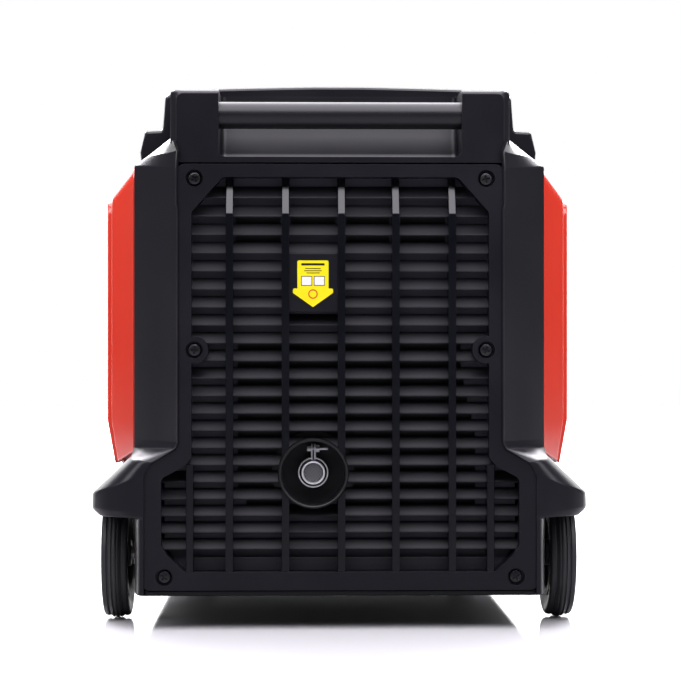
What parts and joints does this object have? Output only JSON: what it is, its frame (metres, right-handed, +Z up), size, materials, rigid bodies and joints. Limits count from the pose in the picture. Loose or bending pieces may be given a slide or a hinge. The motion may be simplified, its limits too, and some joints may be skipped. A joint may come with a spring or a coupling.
{
  "type": "portable generator",
  "caption": "Enclosed suitcase-shaped inverter generator on wheels: louvred exhaust end, red side covers, carry bar, pull-out handle, fuel cap and socket panel.",
  "frame": {"origin": "on the ground, midway between the two ends and the two sides", "axes": "+X to the side of the service cover, +Y from the exhaust end to the control end, +Z up"},
  "size_m": [0.456, 0.62, 0.505],
  "materials": {
    "shell_black": "satin moulded black plastic with a fine grain",
    "gloss_black": "smooth gloss black",
    "cover_red": "high-gloss red plastic",
    "button_red": "gloss red",
    "grey_plastic": "satin dark grey plastic",
    "tyre_rubber": "matt black solid tyre",
    "black_rubber": "matt black rubber",
    "bright_steel": "plain steel",
    "zinc_steel": "yellowish zinc plating",
    "black_steel": "heat-resistant matt black",
    "cast_aluminium": "as-cast aluminium"
  },
  "bodies": {
    "chassis": {"ac_outlet_left": "shell_black", "ac_outlet_right": "shell_black", "air_cleaner": "shell_black", "base_pan": "shell_black", "battery": "shell_black", "carburettor": "cast_aluminium", "clamp_bolt": "zinc_steel", "control_panel": "grey_plastic", "cylinder_head": "cast_aluminium", "dc_outlet": "shell_black", "engine_block": "cast_aluminium", "exhaust_clamp": "zinc_steel", "exhaust_guard": "black_steel", "exhaust_pipe": "bright_steel", "foot_left": "black_rubber", "foot_right": "black_rubber", "front_handle_housing": "shell_black", "front_shell": "shell_black", "fuel_tank": "grey_plastic", "ground_terminal": "bright_steel", "inverter_module": "cast_aluminium", "muffler": "bright_steel", "rear_cover": "shell_black", "rear_handle_bar": "gloss_black", "rear_handle_housing": "shell_black", "rear_louvres": "shell_black", "rear_screw_1": "black_steel", "rear_screw_2": "black_steel", "rear_screw_3": "black_steel", "rear_screw_4": "black_steel", "rear_screw_5": "black_steel", "rear_screw_6": "black_steel", "rear_shell": "shell_black", "recoil_housing": "shell_black", "side_cover_left": "cover_red", "spark_arrestor": "bright_steel", "spark_plug": "shell_black", "stator": "bright_steel", "top_cover": "shell_black", "wheel_axle": "bright_steel"},
    "wheel_left": {"tyre_left": "tyre_rubber", "rim_left": "grey_plastic"},
    "wheel_right": {"tyre_right": "tyre_rubber", "rim_right": "grey_plastic"},
    "pull_handle": {"pull_grip": "gloss_black", "pull_tube_left": "bright_steel", "pull_tube_right": "bright_steel"},
    "release_button": {"pull_release_button": "shell_black"},
    "cap_seal": {"fuel_cap_seal": "black_rubber"},
    "cap": {"fuel_cap": "shell_black"},
    "engine_switch": {"engine_switch": "shell_black"},
    "eco_switch": {"eco_switch": "shell_black"},
    "start_button": {"start_button": "button_red"},
    "breaker_button": {"breaker_button": "shell_black"},
    "starter_grip": {"recoil_grip": "shell_black"},
    "rotor": {"crankshaft": "bright_steel", "flywheel": "cast_aluminium", "cooling_fan": "shell_black"},
    "service_cover": {"side_cover_right": "cover_red"},
    "service_latch": {"service_latch": "shell_black"}
  },
  "joints": [
    {"name": "wheel_left_spin", "type": "hinge", "parent": "chassis", "child": "wheel_left", "pos_m": [-0.20925, -0.21, 0.061], "axis": [1, 0, 0], "continuous": true},
    {"name": "wheel_right_spin", "type": "hinge", "parent": "chassis", "child": "wheel_right", "pos_m": [0.20925, -0.21, 0.061], "axis": [1, 0, 0], "continuous": true},
    {"name": "pull_handle_slide", "type": "slide", "parent": "chassis", "child": "pull_handle", "axis": [0, 1, 0], "range_m": [0, 0.28]},
    {"name": "pull_release_press", "type": "slide", "parent": "pull_handle", "child": "release_button", "axis": [0, 0, -1], "range_m": [0, 0.003], "stiffness_N_per_m": 400},
    {"name": "fuel_cap_lift", "type": "slide", "parent": "chassis", "child": "cap_seal", "axis": [0, 0, 1], "range_m": [0, 0.06]},
    {"name": "fuel_cap_turn", "type": "hinge", "parent": "cap_seal", "child": "cap", "pos_m": [0, 0.12, 0.47], "axis": [0, 0, 1], "range_deg": [0, 120]},
    {"name": "engine_switch_turn", "type": "hinge", "parent": "chassis", "child": "engine_switch", "pos_m": [0.078, 0.285, 0.32], "axis": [0, 1, 0], "range_deg": [0, 90]},
    {"name": "eco_switch_rock", "type": "hinge", "parent": "chassis", "child": "eco_switch", "pos_m": [-0.078, 0.279, 0.32], "axis": [1, 0, 0], "range_deg": [0, 16]},
    {"name": "start_button_press", "type": "slide", "parent": "chassis", "child": "start_button", "axis": [0, -1, 0], "range_m": [0, 0.003], "stiffness_N_per_m": 400},
    {"name": "breaker_reset", "type": "slide", "parent": "chassis", "child": "breaker_button", "axis": [0, -1, 0], "range_m": [0, 0.003], "stiffness_N_per_m": 400},
    {"name": "recoil_pull", "type": "slide", "parent": "chassis", "child": "starter_grip", "axis": [-1, 0, 0], "range_m": [0, 0.5], "stiffness_N_per_m": 20},
    {"name": "rotor_spin", "type": "hinge", "parent": "chassis", "child": "rotor", "pos_m": [0, -0.075, 0.14], "axis": [1, 0, 0], "continuous": true},
    {"name": "service_cover_open", "type": "hinge", "parent": "chassis", "child": "service_cover", "pos_m": [0.1903, 0.2, 0.1], "axis": [0, 0, 1], "range_deg": [0, 88]},
    {"name": "service_latch_turn", "type": "hinge", "parent": "service_cover", "child": "service_latch", "pos_m": [0.221, -0.174, 0.304], "axis": [1, 0, 0], "range_deg": [0, 90]}
  ]
}
